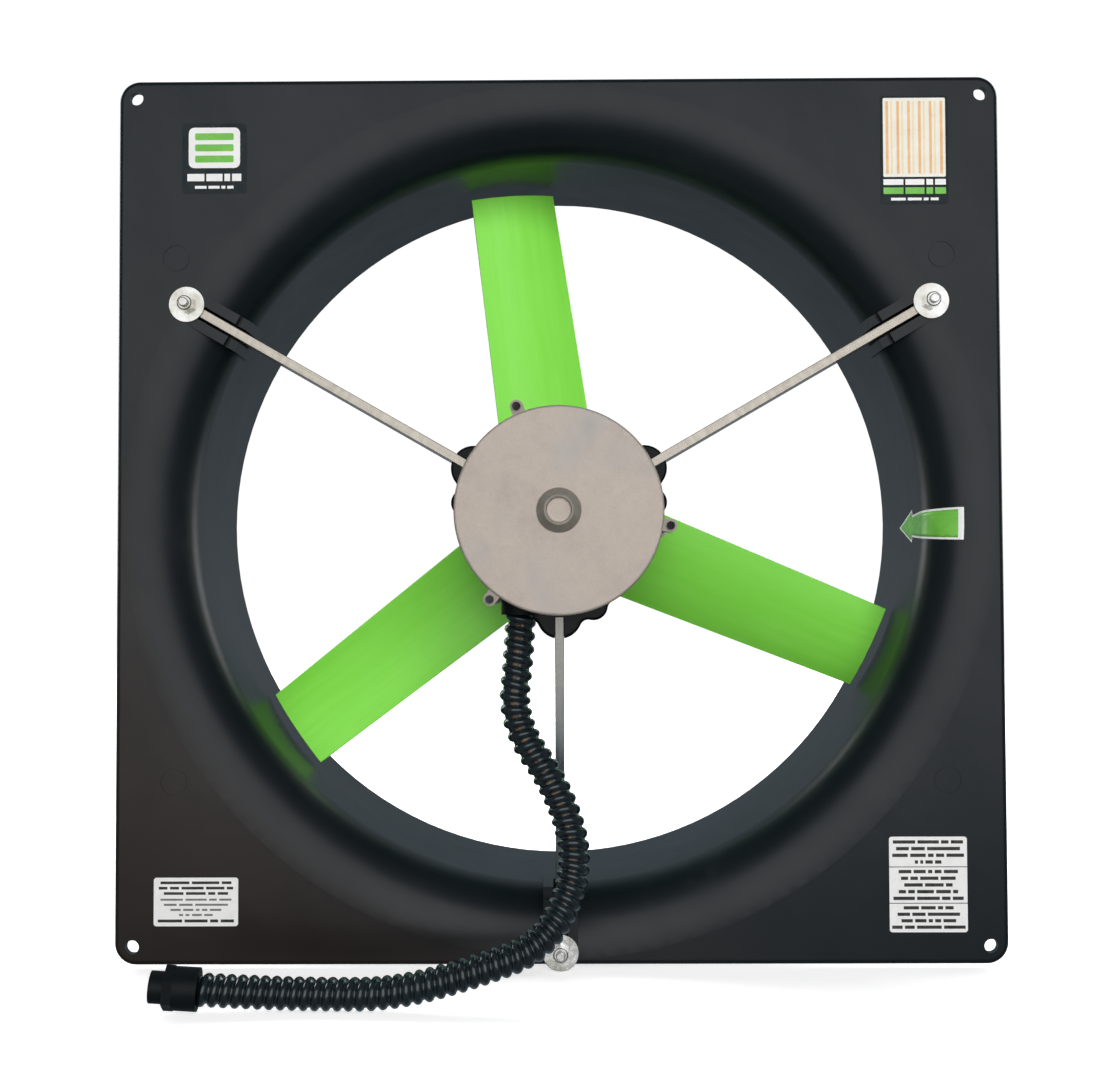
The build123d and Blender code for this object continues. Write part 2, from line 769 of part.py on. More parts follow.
for half_name, (half_front_y, half_back_y) in hub_halves.items():
    with BuildPart() as hub_half:
        with BuildSketch(facing(half_back_y)):
            Circle(hub_radius)
        extrude(amount=half_back_y - half_front_y)
        outer_end = hub_half.faces().sort_by(Axis.Y)[-1 if half_name == "hub_rear" else 0]
        fillet(outer_end.edges(), hub_edge_round)
        with BuildSketch(facing(half_back_y)):
            Circle(shaft_radius)
            with Locations((0, shaft_radius)):
                Rectangle(key_width, key_height)
        extrude(amount=half_back_y - half_front_y, mode=Mode.SUBTRACT)
        for angle in blade_angles:
            with BuildSketch(spoke(angle, blade_middle_y + tang_thickness / 2)):
                with Locations((tang_inner_radius + hub_radius / 2, 0)):
                    Rectangle(hub_radius, tang_width)
            extrude(amount=tang_thickness, mode=Mode.SUBTRACT)
        with BuildSketch(facing(hub_back_y)):
            with at_hub_screws():
                Circle(hub_screw_radius + running_gap)
        extrude(amount=hub_screw_length, mode=Mode.SUBTRACT)
    save(hub_half, half_name)

with BuildPart() as shaft_key:
    with BuildSketch(facing(hub_back_y - key_inset)):
        with Locations((0, shaft_radius)):
            Rectangle(key_width, key_height)
        Circle(shaft_radius, mode=Mode.SUBTRACT)
    extrude(amount=hub_back_y - hub_front_y - 2 * key_inset)
save(shaft_key, "shaft_key")

with BuildPart() as hub_screws:
    with BuildSketch(facing(hub_back_y)):
        with at_hub_screws():
            Circle(hub_screw_radius)
    extrude(amount=hub_screw_length - screw_end_gap)
    with BuildSketch(facing(hub_back_y + hub_screw_head_height)):
        with at_hub_screws():
            Circle(hub_screw_head_radius)
            RegularPolygon(hub_screw_socket_radius, 6, mode=Mode.SUBTRACT)
    extrude(amount=hub_screw_head_height)
save(hub_screws, "hub_screws")

with BuildPart() as shaft_washer:
    with BuildSketch(facing(hub_back_y + shaft_washer_thickness)):
        Circle(shaft_washer_radius)
        Circle(shaft_radius + running_gap, mode=Mode.SUBTRACT)
    extrude(amount=shaft_washer_thickness)
save(shaft_washer, "shaft_washer")

with BuildPart() as shaft_nut:
    with BuildSketch(facing(hub_back_y + shaft_washer_thickness + shaft_nut_height)):
        RegularPolygon(shaft_nut_half_width, 6, major_radius=False)
        Circle(shaft_radius + running_gap, mode=Mode.SUBTRACT)
    extrude(amount=shaft_nut_height)
save(shaft_nut, "shaft_nut")


# ---- blades: a cambered section lofted from root to tip, with a flat tang for the hub ----
def chord_at(radius):
    """The blade's chord shrinks evenly from the hub to the tip."""
    along = (radius - hub_radius) / (blade_tip_radius - hub_radius)
    return blade_root_chord + (blade_tip_chord - blade_root_chord) * along


def section_plane(angle, radius):
    """A plane across a blade at radius: its x is the chord, leading edge first, tilted by the pitch."""
    pitch = math.radians(blade_pitch)
    chord_way = outwards(angle + 90) * math.cos(pitch) + Vector(0, -1, 0) * math.sin(pitch)
    centre = outwards(angle) * radius + Vector(0, blade_middle_y, 0)
    return Plane(origin=centre, x_dir=chord_way, z_dir=outwards(angle))


tang_reach = 4
tang_end_radius = hub_radius + tang_reach
tang_overlap = 6
section_radii = [tang_end_radius, 120, 190, blade_tip_radius]
edge_half = 0.8
chord_line = -2
crown = chord_line + blade_camber

for number, angle in enumerate(blade_angles, start=1):
    with BuildPart() as fan_blade:
        for radius in section_radii:
            half = chord_at(radius) / 2
            with BuildSketch(section_plane(angle, radius)):
                with BuildLine():
                    front = ThreePointArc(
                        (-half, chord_line + edge_half), (0, crown), (half, chord_line + edge_half)
                    )
                    back = ThreePointArc(
                        (-half, chord_line - edge_half),
                        (0, crown - blade_thickness),
                        (half, chord_line - edge_half),
                    )
                    Line(front @ 0, back @ 0)
                    Line(front @ 1, back @ 1)
                make_face()
        loft()
        with BuildSketch(spoke(angle, blade_middle_y + tang_thickness / 2)):
            with Locations(((tang_inner_radius + tang_end_radius + tang_overlap) / 2, 0)):
                Rectangle(tang_end_radius + tang_overlap - tang_inner_radius, tang_width)
        extrude(amount=tang_thickness)
    save(fan_blade, f"fan_blade_{number}")


# ---- conduit: out of the motor's side, down past the lower strut, and along the floor ----
gland_radius = 13
gland_height = 26
gland_bore_radius = 6
gland_nipple_height = 11
fitting_length = 30
fitting_body_length = 15
fitting_nut_length = 6
fitting_radius = 13.5
fitting_nut_radius = 15
fitting_nut_corner_radius = 14.5
fitting_thread_radius = 10
fitting_bore_radius = 7
fitting_bore_start = 2
conduit_floor_z = floor_z + conduit_diameter / 2
bend_share = 0.45
conduit_route = [
    (conduit_entry_x, conduit_entry_y, conduit_start_z),
    (conduit_entry_x, conduit_entry_y, -92),
    (-27, -46, -138),
    (0, -58, -183),
    (13, -69, -230),
    (-8, -81, -277),
    (-55, -93, -297),
    (-104, -98, conduit_floor_z),
    (-153, -94, conduit_floor_z),
    (-202, -97, conduit_floor_z + 2.5),
    (-227, -99, floor_z + fitting_nut_radius),
]


def bend_radii(route):
    """Each corner's radius: a share of its shorter run, divided by the tangent of half the turn."""
    points = [Vector(*p) for p in route]
    radii = []
    for before, corner, after in zip(points, points[1:], points[2:]):
        first_run = corner - before
        second_run = after - corner
        half_turn = math.radians(first_run.get_angle(second_run) / 2)
        radii.append(bend_share * min(first_run.length, second_run.length) / math.tan(half_turn))
    return radii


conduit_radii = bend_radii(conduit_route)
print("conduit bend radii, mm:", [round(r) for r in conduit_radii])

with BuildPart() as power_conduit:
    with BuildLine() as conduit_path:
        FilletPolyline(*conduit_route, radius=conduit_radii)
    conduit_wire = conduit_path.wire()
    with BuildSketch(Plane(origin=conduit_wire @ 0, z_dir=conduit_wire % 0)):
        Circle(conduit_diameter / 2)
    sweep()
conduit_section = math.pi * (conduit_diameter / 2) ** 2
volume_share = power_conduit.part.volume / (conduit_section * conduit_wire.length)
print("conduit length, mm:", round(conduit_wire.length, 1))
print("conduit volume over section times length:", round(volume_share, 4))
save(power_conduit, "power_conduit")

# the gland's base is shaped to the motor's round side, and its nipple goes into the hole there
with BuildPart() as conduit_gland:
    with BuildSketch(Plane.XY.offset(conduit_start_z)):
        with Locations((conduit_entry_x, conduit_entry_y)):
            Circle(gland_radius)
    extrude(amount=gland_height)
    with BuildSketch(facing(can_back_y)):
        Circle(can_radius + running_gap)
    extrude(amount=can_back_y - can_front_y, mode=Mode.SUBTRACT)
    with BuildSketch(Plane.XY.offset(conduit_start_z)):
        with Locations((conduit_entry_x, conduit_entry_y)):
            Circle(conduit_hole_radius - running_gap)
    extrude(amount=gland_nipple_height)
    with BuildSketch(Plane.XY.offset(conduit_start_z)):
        with Locations((conduit_entry_x, conduit_entry_y)):
            Circle(gland_bore_radius)
    extrude(amount=gland_height, mode=Mode.SUBTRACT)
save(conduit_gland, "conduit_gland")

fitting_plane = Plane(origin=conduit_wire @ 1, z_dir=conduit_wire % 1)

with BuildPart() as conduit_end_fitting:
    with BuildSketch(fitting_plane):
        Circle(fitting_radius)
    extrude(amount=fitting_body_length)
    with BuildSketch(fitting_plane.offset(fitting_body_length)):
        RegularPolygon(fitting_nut_corner_radius, 6)
    extrude(amount=fitting_nut_length)
    with BuildSketch(fitting_plane.offset(fitting_body_length + fitting_nut_length)):
        Circle(fitting_thread_radius)
    extrude(amount=fitting_length - fitting_body_length - fitting_nut_length)
    with BuildSketch(fitting_plane.offset(fitting_bore_start)):
        Circle(fitting_bore_radius)
    extrude(amount=fitting_length - fitting_bore_start, mode=Mode.SUBTRACT)
save(conduit_end_fitting, "conduit_end_fitting")


# ---- labels: thin stickers on the flange, and an arrow wrapped over the bell ----
flat_labels = {
    "label_upper_left": (-265.7, -220.2, 230.4, 280.2),
    "label_upper_right": (227.6, 275.3, 220, 297),
    "label_lower_left": (-283.3, -224.4, -283.9, -250.3),
    "label_lower_right": (228.3, 282.3, -288.9, -223),
}

for label_name, (left, right, bottom, top) in flat_labels.items():
    with BuildPart() as flat_label:
        with BuildSketch(facing(0)):
            with Locations(((left + right) / 2, (bottom + top) / 2)):
                RectangleRounded(right - left, top - bottom, label_corner_radius)
        extrude(amount=label_thickness)
    save(flat_label, label_name)

arrow_middle_z = -5
arrow_tail_y = 4
arrow_neck_y = 54
arrow_tip_y = 93
arrow_tail_half = 11.5
arrow_neck_half = 8
arrow_head_half = 12

with BuildPart() as label_airflow:
    with BuildSketch(Plane.XY):
        with BuildLine():
            EllipticalCenterArc(
                (bell_radius, bell_depth),
                bell_width,
                bell_depth,
                start_angle=180,
                arc_size=90,
            )
            EllipticalCenterArc(
                (bell_radius, bell_depth),
                bell_width + label_thickness,
                bell_depth + label_thickness,
                start_angle=180,
                arc_size=90,
            )
            Line((bell_radius, 0), (bell_radius, -label_thickness))
            Polyline(
                (throat_radius, bell_depth),
                (throat_radius, arrow_tip_y),
                (throat_radius - label_thickness, arrow_tip_y),
                (throat_radius - label_thickness, bell_depth),
            )
        make_face()
    revolve(axis=Axis.Y)
    with BuildSketch(Plane.YZ.offset(throat_radius / 2)):
        with BuildLine():
            Polyline(
                (arrow_tail_y, arrow_middle_z + arrow_tail_half),
                (arrow_neck_y, arrow_middle_z + arrow_neck_half),
                (arrow_neck_y, arrow_middle_z + arrow_head_half),
                (arrow_tip_y, arrow_middle_z),
                (arrow_neck_y, arrow_middle_z - arrow_head_half),
                (arrow_neck_y, arrow_middle_z - arrow_neck_half),
                (arrow_tail_y, arrow_middle_z - arrow_tail_half),
                close=True,
            )
        make_face()
    extrude(amount=throat_radius, mode=Mode.INTERSECT)
save(label_airflow, "label_airflow")
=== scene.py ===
"""The looks of the solar attic fan: camera, materials, ribbed conduit, the stickers' print and light."""
import math

import bmesh
import bpy
from mathutils import Matrix, Vector


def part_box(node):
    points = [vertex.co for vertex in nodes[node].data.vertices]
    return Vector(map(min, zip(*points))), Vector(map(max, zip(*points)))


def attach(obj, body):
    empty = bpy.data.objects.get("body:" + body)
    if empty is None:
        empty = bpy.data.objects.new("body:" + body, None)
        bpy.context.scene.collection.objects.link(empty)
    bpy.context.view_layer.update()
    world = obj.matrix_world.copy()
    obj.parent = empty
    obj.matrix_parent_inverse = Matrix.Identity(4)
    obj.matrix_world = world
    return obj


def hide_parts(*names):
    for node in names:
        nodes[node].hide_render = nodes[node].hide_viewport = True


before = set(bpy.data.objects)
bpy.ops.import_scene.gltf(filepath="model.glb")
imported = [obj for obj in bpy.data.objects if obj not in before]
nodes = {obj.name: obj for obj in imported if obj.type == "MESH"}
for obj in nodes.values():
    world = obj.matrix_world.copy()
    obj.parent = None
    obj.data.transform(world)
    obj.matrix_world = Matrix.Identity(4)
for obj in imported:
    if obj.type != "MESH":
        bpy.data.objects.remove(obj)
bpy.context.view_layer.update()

MM = 0.001
STILL = "fan_frame"
STRUT_ANGLES = {"strut_upper_right": 30, "strut_upper_left": 150, "strut_lower": 270}
BELL_RADIUS = 0.307
THROAT_RADIUS = 0.26035
BELL_DEPTH = 0.032

# the floor is where the lower washer and the conduit rest
FLOOR_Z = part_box("strut_washers")[0].z


# ---- camera ----
CAMERA_PLACE = (0.0008, -1.0116, -0.0479)
CAMERA_LENS = 47.36
CAMERA_SENSOR = 36
CAMERA_REACH = 100
CAMERA_TURNS = (1.815, -0.447, -0.203)


def make_camera():
    """A camera about a metre in front of the inlet, a little below the fan's axis and tipped up."""
    data = bpy.data.cameras.new("camera")
    data.sensor_width = CAMERA_SENSOR
    data.lens = CAMERA_LENS
    data.clip_end = CAMERA_REACH
    camera = bpy.data.objects.new("camera", data)
    camera.location = CAMERA_PLACE
    pitch, yaw, roll = (math.radians(turn) for turn in CAMERA_TURNS)
    aim = Matrix.Rotation(-yaw, 3, "Z") @ Matrix.Rotation(math.pi / 2 + pitch, 3, "X")
    camera.rotation_euler = (aim @ Matrix.Rotation(roll, 3, "Z")).to_euler()
    bpy.context.scene.collection.objects.link(camera)
    bpy.context.scene.camera = camera


make_camera()


# ---- small tools ----
def link_mesh(name, mesh, material, body, smooth=True):
    """Makes an object of a mesh, with its material, riding on a body."""
    obj = bpy.data.objects.new(name, mesh)
    bpy.context.scene.collection.objects.link(obj)
    mesh.materials.append(material)
    mesh.polygons.foreach_set("use_smooth", [smooth] * len(mesh.polygons))
    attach(obj, body)
    return obj


def mesh_of(name, verts, faces):
    """A mesh from points and faces, with its normals made consistent."""
    mesh = bpy.data.meshes.new(name)
    mesh.from_pydata([tuple(v) for v in verts], [], faces)
    bm = bmesh.new()
    bm.from_mesh(mesh)
    bmesh.ops.recalc_face_normals(bm, faces=bm.faces)
    bm.to_mesh(mesh)
    bm.free()
    return mesh


def grid_faces(rows, columns, closed_columns=False):
    """Quads between rows of points; the columns may close into a ring."""
    faces = []
    last = columns if closed_columns else columns - 1
    for i in range(rows - 1):
        for j in range(last):
            k = (j + 1) % columns
            faces.append((i * columns + j, i * columns + k, (i + 1) * columns + k, (i + 1) * columns + j))
    return faces


# ---- materials ----
class Finish:
    """A Principled material whose colour, roughness and relief come from object-space noise."""

    def __init__(self, name, **sockets):
        self.material = bpy.data.materials.new(name)
        self.material.use_nodes = True
        self.tree = self.material.node_tree
        self.shader = self.tree.nodes["Principled BSDF"]
        for socket, value in sockets.items():
            self.shader.inputs[socket.replace("_", " ")].default_value = value
        self.place = self.tree.nodes.new("ShaderNodeTexCoord").outputs["Object"]
        self.normal = None

    def join(self, output, node, socket):
        """Links an output to a node's socket."""
        self.tree.links.new(output, node.inputs[socket])

    def mapped(self, scale=(1, 1, 1), turn=(0, 0, 0)):
        """The object's coordinates, turned and then stretched."""
        turned = self.tree.nodes.new("ShaderNodeMapping")
        turned.inputs["Rotation"].default_value = turn
        self.join(self.place, turned, "Vector")
        stretched = self.tree.nodes.new("ShaderNodeMapping")
        stretched.inputs["Scale"].default_value = scale
        self.join(turned.outputs["Vector"], stretched, "Vector")
        return stretched.outputs["Vector"]

    def noise(self, scale, detail=4.0, place=None, roughness=0.55, distortion=0.0):
        """Noise from 0 to 1, mostly near the middle."""
        node = self.tree.nodes.new("ShaderNodeTexNoise")
        node.inputs["Scale"].default_value = scale
        node.inputs["Detail"].default_value = detail
        node.inputs["Roughness"].default_value = roughness
        node.inputs["Distortion"].default_value = distortion
        self.join(place or self.place, node, "Vector")
        return node.outputs["Fac"]

    def ramp(self, value, stops):
        """A colour ramp: stops are (position, colour) pairs."""
        node = self.tree.nodes.new("ShaderNodeValToRGB")
        elements = node.color_ramp.elements
        while len(elements) < len(stops):
            elements.new(0.5)
        for element, (position, colour) in zip(elements, stops):
            element.position = position
            element.color = (*colour, 1)
        self.join(value, node, "Fac")
        return node.outputs["Color"]

    def mix(self, share, first, second):
        """Two colours mixed by a varying share."""
        node = self.tree.nodes.new("ShaderNodeMix")
        node.data_type = "RGBA"
        self.join(share, node, "Factor")
        self.tree.links.new(first, node.inputs[6])
        self.tree.links.new(second, node.inputs[7])
        return node.outputs[2]

    def length(self, place):
        """How far a place is from the origin, in metres."""
        node = self.tree.nodes.new("ShaderNodeVectorMath")
        node.operation = "LENGTH"
        self.join(place, node, 0)
        return node.outputs["Value"]

    def from_axis(self):
        """The distance from the fan's axis, in metres."""
        return self.length(self.mapped((1, 0, 1)))

    def towards(self, direction):
        """How far a point lies in a direction, in metres."""
        node = self.tree.nodes.new("ShaderNodeVectorMath")
        node.operation = "DOT_PRODUCT"
        node.inputs[1].default_value = direction
        self.join(self.place, node, 0)
        return node.outputs["Value"]

    def spread(self, value, low, high, from_low=0.3, from_high=0.7):
        """A value's range stretched smoothly to another range."""
        node = self.tree.nodes.new("ShaderNodeMapRange")
        node.interpolation_type = "SMOOTHSTEP"
        node.inputs["From Min"].default_value = from_low
        node.inputs["From Max"].default_value = from_high
        node.inputs["To Min"].default_value = low
        node.inputs["To Max"].default_value = high
        self.join(value, node, "Value")
        return node.outputs["Result"]

    def colour(self, output):
        """Sets the base colour."""
        self.join(output, self.shader, "Base Color")

    def roughness(self, output):
        """Sets the roughness."""
        self.join(output, self.shader, "Roughness")

    def relief(self, height, strength, distance):
        """Adds a bump on top of those before it."""
        node = self.tree.nodes.new("ShaderNodeBump")
        node.inputs["Strength"].default_value = strength
        node.inputs["Distance"].default_value = distance
        self.join(height, node, "Height")
        if self.normal:
            self.join(self.normal, node, "Normal")
        self.normal = node.outputs["Normal"]
        self.join(self.normal, self.shader, "Normal")


def shade(colour, factor):
    """A colour made darker or lighter."""
    return tuple(factor * c for c in colour)


def even(value):
    """A grey, for a ramp that gives a plain number."""
    return (value, value, value)


def housing_finish():
    """Semi-gloss moulded plastic: clouds, handling smears, a painted warm reflection low on the left, and a
    duller throat.
    """
    finish = Finish("housing_plastic", IOR=1.5)
    clouds = finish.noise(5, 5)
    plastic = finish.ramp(clouds, [(0.3, (0.0022, 0.0060, 0.0085)), (0.7, (0.0050, 0.0095, 0.0125))])
    smears = finish.noise(11, 7, finish.mapped((1, 1, 0.35), (0, 0.5, 0)), roughness=0.7)
    smeared = finish.ramp(smears, [(0.45, (0.005, 0.008, 0.010)), (0.8, (0.020, 0.025, 0.028))])
    surface = finish.mix(finish.spread(smears, 0.0, 0.7, 0.58, 0.78), plastic, smeared)
    # Painted reflection: a brownish tint painted into the colour low on the left, strongest on the flange and
    # faint on the bell.
    warm_reflection = finish.ramp(finish.noise(8, 5), [(0.3, (0.012, 0.007, 0.005)), (0.7, (0.021, 0.014, 0.011))])
    low_left = finish.towards((-0.70, 0, -0.72))
    with_warm_reflection = finish.mix(finish.spread(low_left, 0.0, 0.8, 0.05, 0.38), surface, warm_reflection)
    distance = finish.from_axis()
    on_flange = finish.spread(distance, 0.15, 1.0, BELL_RADIUS - 0.022, BELL_RADIUS + 0.008)
    finish.colour(finish.mix(on_flange, surface, with_warm_reflection))
    flange_gloss = finish.ramp(smears, [(0.3, even(0.25)), (0.7, even(0.40))])
    throat_gloss = finish.ramp(smears, [(0.3, even(0.36)), (0.7, even(0.46))])
    in_bell = finish.spread(distance, 0.0, 1.0, THROAT_RADIUS + 0.00085, THROAT_RADIUS + 0.00765)
    finish.roughness(finish.mix(in_bell, throat_gloss, flange_gloss))
    finish.relief(finish.noise(900, 3), 0.10, 0.0003)
    finish.relief(finish.noise(24, 2), 0.05, 0.004)
    return finish.material


def moulded_plastic(name, dark, light, rough, grain=900, **sockets):
    """Moulded plastic: cloudy colour, patchy gloss and a fine grain."""
    finish = Finish(name, **sockets)
    finish.colour(finish.ramp(finish.noise(14, 5), [(0.3, dark), (0.7, light)]))
    finish.roughness(finish.spread(finish.noise(55, 6, roughness=0.7), *rough))
    finish.relief(finish.noise(grain, 3), 0.12, 0.0004)
    finish.relief(finish.noise(120, 3), 0.10, 0.0010)
    return finish.material


CASTING = (0.545, 0.475, 0.42)
BOSS_EDGE = (0.0138, 0.0148)
BOSS_EYE = (0.0074, 0.0084)
CAP_RIM = (0.0652, 0.0668)


def cast_finish(name, plate, boss=None):
    """A coated casting: sandy grain, stains and thin scratches; the cap's boss and rim are darker, the boss
    ring partly from a darker coat and partly as painted shade on its slope.
    """
    finish = Finish(name, Metallic=0.25, IOR=1.35)
    stains = finish.noise(26, 6, roughness=0.68)
    sand = finish.noise(1300, 2)
    scratches = finish.noise(70, 5, finish.mapped((1, 1, 9), (0, 0.9, 0)), roughness=0.8)
    base = finish.ramp(stains, [(0.32, shade(plate, 0.72)), (0.51, plate), (0.68, shade(plate, 1.14))])
    gritty = finish.ramp(sand, [(0.36, shade(plate, 0.78)), (0.62, shade(plate, 1.06))])
    surface = finish.mix(finish.spread(finish.noise(240, 3), 0.05, 0.40), base, gritty)
    cool = finish.ramp(finish.noise(60, 4), [(0.3, (0.385, 0.380, 0.370)), (0.7, (0.500, 0.490, 0.470))])
    drift = finish.noise(15, 3, distortion=0.6)
    surface = finish.mix(finish.spread(drift, 0.0, 0.65, 0.48, 0.68), surface, cool)
    smudges = finish.ramp(finish.noise(90, 4), [(0.3, shade(plate, 0.55)), (0.7, shade(plate, 0.80))])
    surface = finish.mix(finish.spread(finish.noise(17, 3), 0.0, 0.55, 0.60, 0.74), surface, smudges)
    worn = finish.ramp(scratches, [(0.3, shade(plate, 0.70)), (0.7, shade(plate, 0.95))])
    surface = finish.mix(finish.spread(scratches, 0.0, 0.5, 0.60, 0.75), surface, worn)
    if boss:
        # The boss ring's colour is partly a darker coat and partly painted shade on the boss's sloping side;
        # the rim is darkened with it too.
        ring = finish.ramp(finish.noise(180, 4), [(0.3, shade(boss, 0.75)), (0.7, boss)])
        distance = finish.from_axis()
        ringed = finish.mix(finish.spread(distance, 1.0, 0.0, *BOSS_EDGE), surface, ring)
        surface = finish.mix(finish.spread(distance, 1.0, 0.0, *BOSS_EYE), ringed, surface)
        surface = finish.mix(finish.spread(distance, 0.0, 0.65, *CAP_RIM), surface, ring)
    finish.colour(surface)
    finish.roughness(finish.spread(stains, 0.42, 0.62))
    finish.relief(sand, 0.30, 0.0003)
    return finish.material


# Where the lower strut's painted shade fades in: heights below the axis, and depths behind the front edge.
PAINTED_SHADE_HEIGHTS = (0.060, 0.185)
PAINTED_SHADE_DEPTHS = (0.001, 0.006)


def flat_bar(name, dark, light, angle, painted_shade):
    """Mill-finish bar: grain along it at angle in the XZ plane; its front edge may get a painted shade low
    down.
    """
    finish = Finish(name, Metallic=0.85)
    turn = (0, math.radians(angle), 0)
    grain = finish.noise(1.0, 3, finish.mapped((7, 800, 800), turn), roughness=0.5)
    marks = finish.noise(1.0, 2, finish.mapped((160, 60, 60), turn), roughness=0.5)
    patches = finish.noise(34, 4)
    worn = finish.ramp(grain, [(0.3, dark), (0.7, light)])
    scored = finish.ramp(marks, [(0.35, shade(dark, 0.88)), (0.6, light)])
    surface = finish.mix(finish.spread(patches, 0.10, 0.55), worn, scored)
    # Painted shade: a darker bluish metal colour on the front edge low down, standing in for a darker
    # reflection there.
    shaded_metal = finish.ramp(grain, [(0.3, (0.085, 0.110, 0.125)), (0.7, (0.170, 0.200, 0.215))])
    low_down = finish.spread(finish.towards((0, 0, -1)), *painted_shade, *PAINTED_SHADE_HEIGHTS)
    with_painted_shade = finish.mix(low_down, surface, shaded_metal)
    behind = finish.spread(finish.towards((0, 1, 0)), 0.0, 0.8, *PAINTED_SHADE_DEPTHS)
    finish.colour(finish.mix(behind, with_painted_shade, surface))
    finish.roughness(finish.spread(grain, 0.22, 0.32))
    finish.relief(grain, 0.04, 0.0002)
    return finish.material


def plated(name, dark, light, rough=(0.18, 0.4), thread=False):
    """Plated or ground metal: a slow drift of tone, a faint mottle, and a thread's rings if asked."""
    finish = Finish(name, Metallic=1.0)
    drift = finish.ramp(finish.noise(42, 2), [(0.38, dark), (0.6, light)])
    mottle = finish.ramp(finish.noise(260, 4), [(0.3, shade(light, 0.9)), (0.7, light)])
    finish.colour(finish.mix(finish.spread(finish.noise(180, 3), 0.1, 0.4), drift, mottle))
    finish.roughness(finish.spread(finish.noise(420, 3), *rough))
    finish.relief(finish.noise(600, 3), 0.08, 0.0001)
    if thread:
        wave = finish.tree.nodes.new("ShaderNodeTexWave")
        wave.bands_direction = "Y"
        wave.inputs["Scale"].default_value = 250
        finish.join(finish.place, wave, "Vector")
        finish.relief(wave.outputs["Fac"], 0.8, 0.0004)
    return finish.material


def printed(name, dark, light, rough=(0.25, 0.4), **sockets):
    """A sticker's film: nearly even colour with a faint orange peel."""
    finish = Finish(name, **sockets)
    finish.colour(finish.ramp(finish.noise(90, 4), [(0.3, dark), (0.7, light)]))
    finish.roughness(finish.spread(finish.noise(160, 3), *rough))
    finish.relief(finish.noise(700, 2), 0.06, 0.0002)
    return finish.material


# Each blade's tone is painted light and shade: blades 1 and 2 lighter, blade 3 darker, as the light falls on
# them.
BLADE_ANGLES_AND_PAINTED_LIGHT = ((97.8, 1.08), (217.8, 1.10), (337.8, 0.90))


def blade_finish(name, angle, tone):
    """Lime-green plastic with flow lines along the blade, which points at angle, and a slow drift; tone
    scales the colour as painted light and shade.
    """
    finish = Finish(name, IOR=1.4)
    turn = (0, math.radians(angle), 0)
    clouds = finish.noise(9, 4)
    streaks = finish.noise(1.0, 5, finish.mapped((10, 130, 130), turn), roughness=0.65)
    deep, pale = shade((0.235, 0.80, 0.070), tone), shade((0.275, 0.86, 0.095), tone)
    base = finish.ramp(clouds, [(0.3, deep), (0.7, pale)])
    deep_line, pale_line = shade((0.225, 0.78, 0.065), tone), shade((0.300, 0.87, 0.115), tone)
    lines = finish.ramp(streaks, [(0.35, deep_line), (0.7, pale_line)])
    finish.colour(finish.mix(finish.spread(clouds, 0.35, 0.65), base, lines))
    finish.roughness(finish.spread(streaks, 0.36, 0.50))
    finish.relief(finish.noise(700, 3), 0.10, 0.0003)
    finish.relief(streaks, 0.06, 0.0010)
    return finish.material


housing_material = housing_finish()
mount_material = moulded_plastic(
    "mount_plastic", (0.001, 0.002, 0.003), (0.003, 0.005, 0.006), (0.10, 0.20), IOR=1.28,
)
hub_material = moulded_plastic("hub_plastic", (0.010, 0.011, 0.012), (0.02, 0.021, 0.022), (0.38, 0.55))
conduit_material = moulded_plastic(
    "conduit_plastic", (0.003, 0.007, 0.010), (0.006, 0.013, 0.017), (0.20, 0.34), grain=1400,
    Coat_Weight=1.0, Coat_Roughness=0.20, Coat_IOR=1.65, Coat_Tint=(0.80, 0.95, 1.0, 1),
)
fitting_material = moulded_plastic(
    "fitting_plastic", (0.003, 0.005, 0.006), (0.006, 0.009, 0.010), (0.42, 0.58), IOR=1.32,
)
slot_material = printed("conduit_slot", (0.035, 0.018, 0.008), (0.22, 0.14, 0.08), (0.3, 0.5))
cap_material = cast_finish("motor_cap", CASTING, boss=(0.29, 0.275, 0.235))
casting_material = cast_finish("motor_casting", CASTING)
zinc_material = plated("zinc", (0.58, 0.56, 0.48), (0.93, 0.94, 0.93), (0.16, 0.28))
stud_material = plated("zinc_stud", (0.60, 0.60, 0.56), (0.93, 0.94, 0.93), (0.16, 0.28), thread=True)
dark_steel_material = plated("black_oxide", (0.02, 0.02, 0.022), (0.06, 0.06, 0.065), (0.3, 0.5))
bearing_material = plated("bearing_steel", (0.55, 0.55, 0.56), (0.75, 0.75, 0.76), (0.08, 0.2))
lamination_material = plated("laminations", (0.14, 0.14, 0.15), (0.28, 0.28, 0.29), (0.4, 0.6))
copper_material = plated("copper", (0.42, 0.14, 0.05), (0.72, 0.30, 0.12), (0.25, 0.45))
magnet_material = plated("magnet_nickel", (0.30, 0.30, 0.31), (0.5, 0.5, 0.5), (0.2, 0.4))
board_material = printed("circuit_board", (0.01, 0.10, 0.03), (0.02, 0.17, 0.06))

